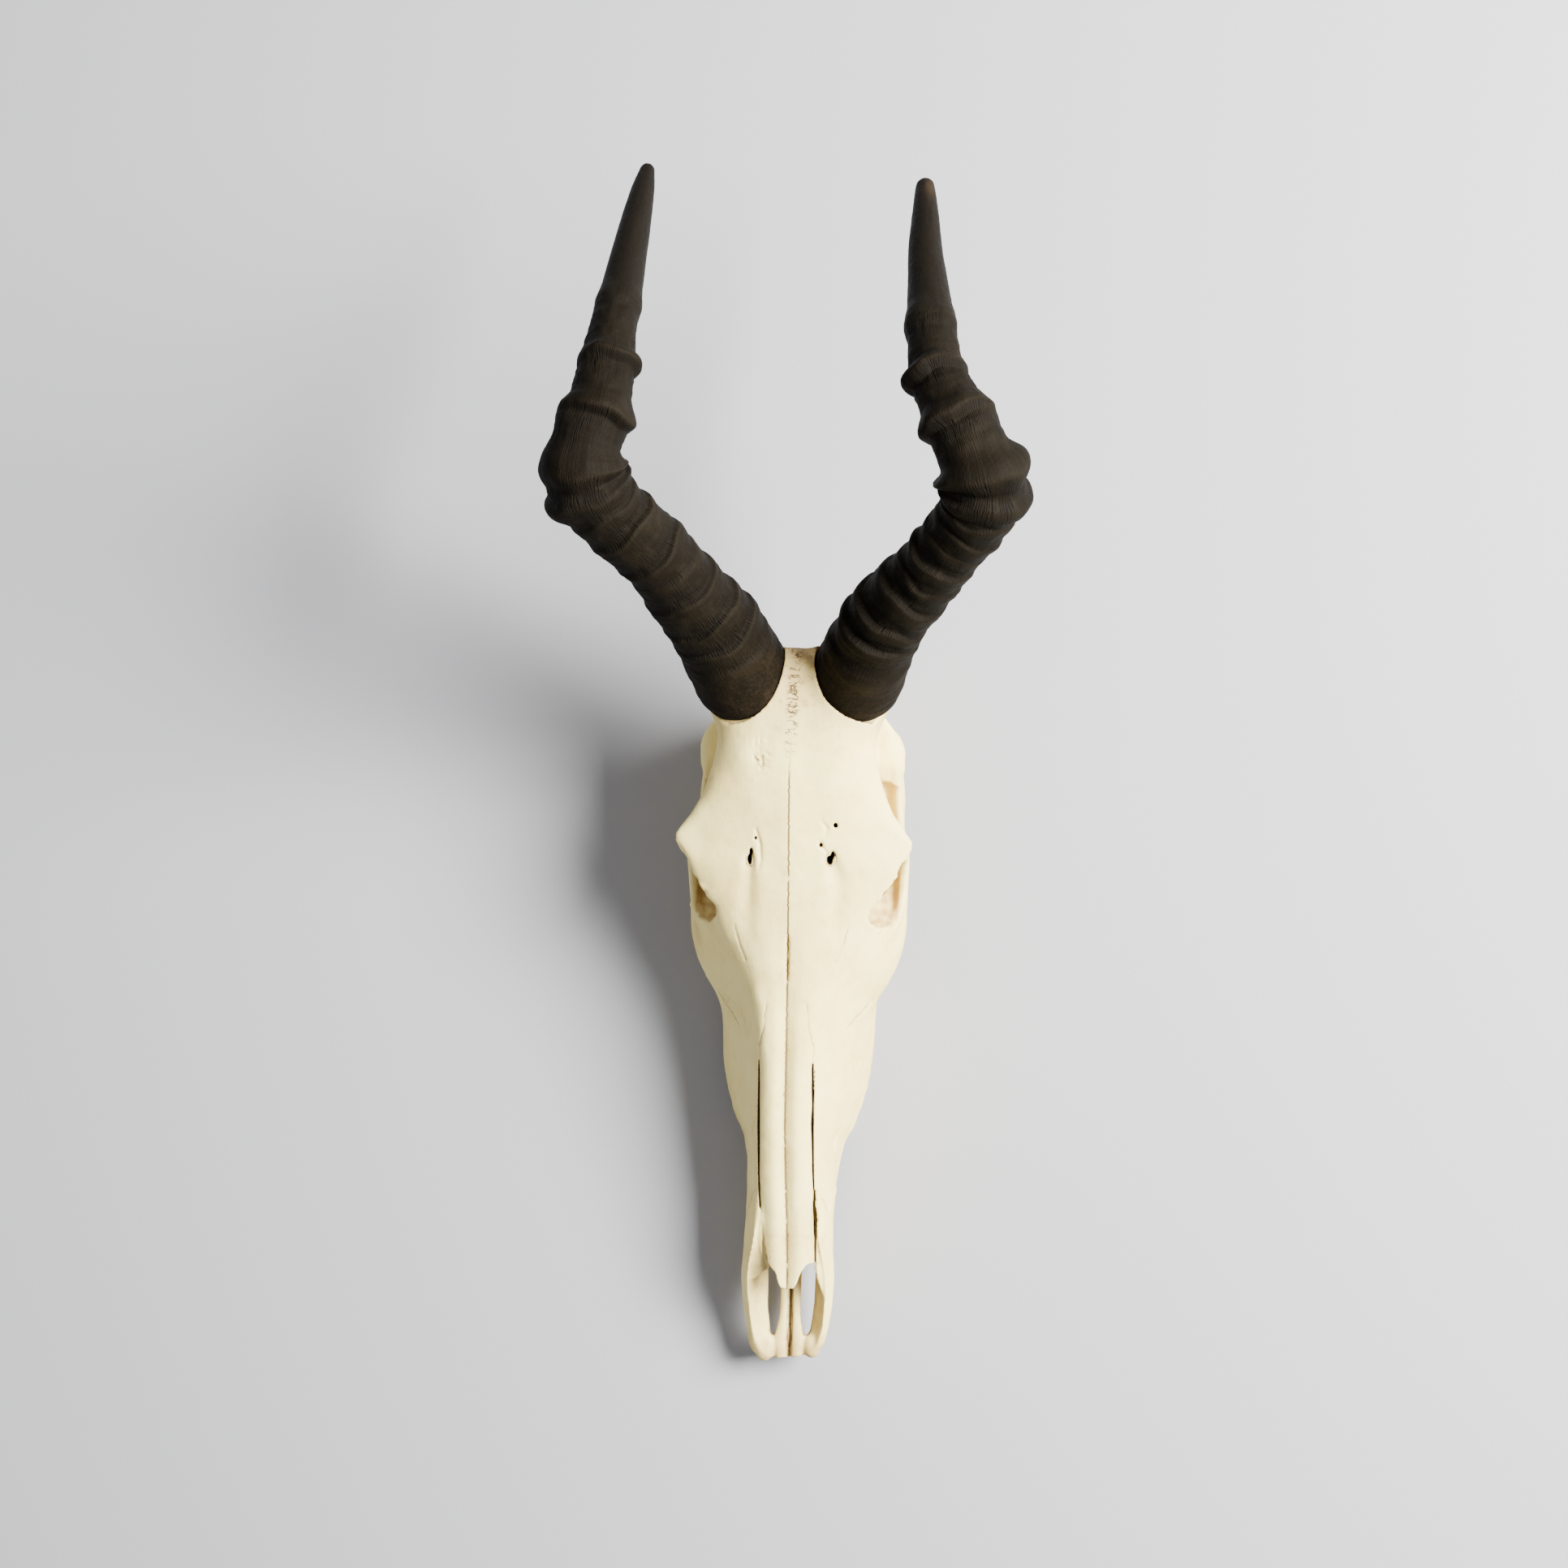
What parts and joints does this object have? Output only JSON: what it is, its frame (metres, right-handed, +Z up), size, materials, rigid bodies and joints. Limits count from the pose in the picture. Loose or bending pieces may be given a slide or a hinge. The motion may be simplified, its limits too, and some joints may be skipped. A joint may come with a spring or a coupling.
{
  "type": "hartebeest skull",
  "caption": "Skull of a hartebeest without its lower jaw: a long narrow face, open eye sockets and a high pedicle that carries two thick ringed horns with a double bend",
  "frame": {"origin": "middle of the bottom of the box around the whole skull, on the surface it lies on", "axes": "+Y runs from the muzzle to the horn tips, +X to the right as seen in the picture, +Z up, out of the forehead"},
  "size_m": [0.2698, 0.7126, 0.2839],
  "materials": {
    "bone": "matte",
    "horn": "satin",
    "tooth": "satin"
  },
  "bodies": {
    "root": {"skull": "bone", "horn_left": "horn", "horn_right": "horn", "premolar_2_left": "tooth", "premolar_3_left": "tooth", "premolar_4_left": "tooth", "molar_1_left": "tooth", "molar_2_left": "tooth", "molar_3_left": "tooth", "premolar_2_right": "tooth", "premolar_3_right": "tooth", "premolar_4_right": "tooth", "molar_1_right": "tooth", "molar_2_right": "tooth", "molar_3_right": "tooth"}
  },
  "joints": []
}
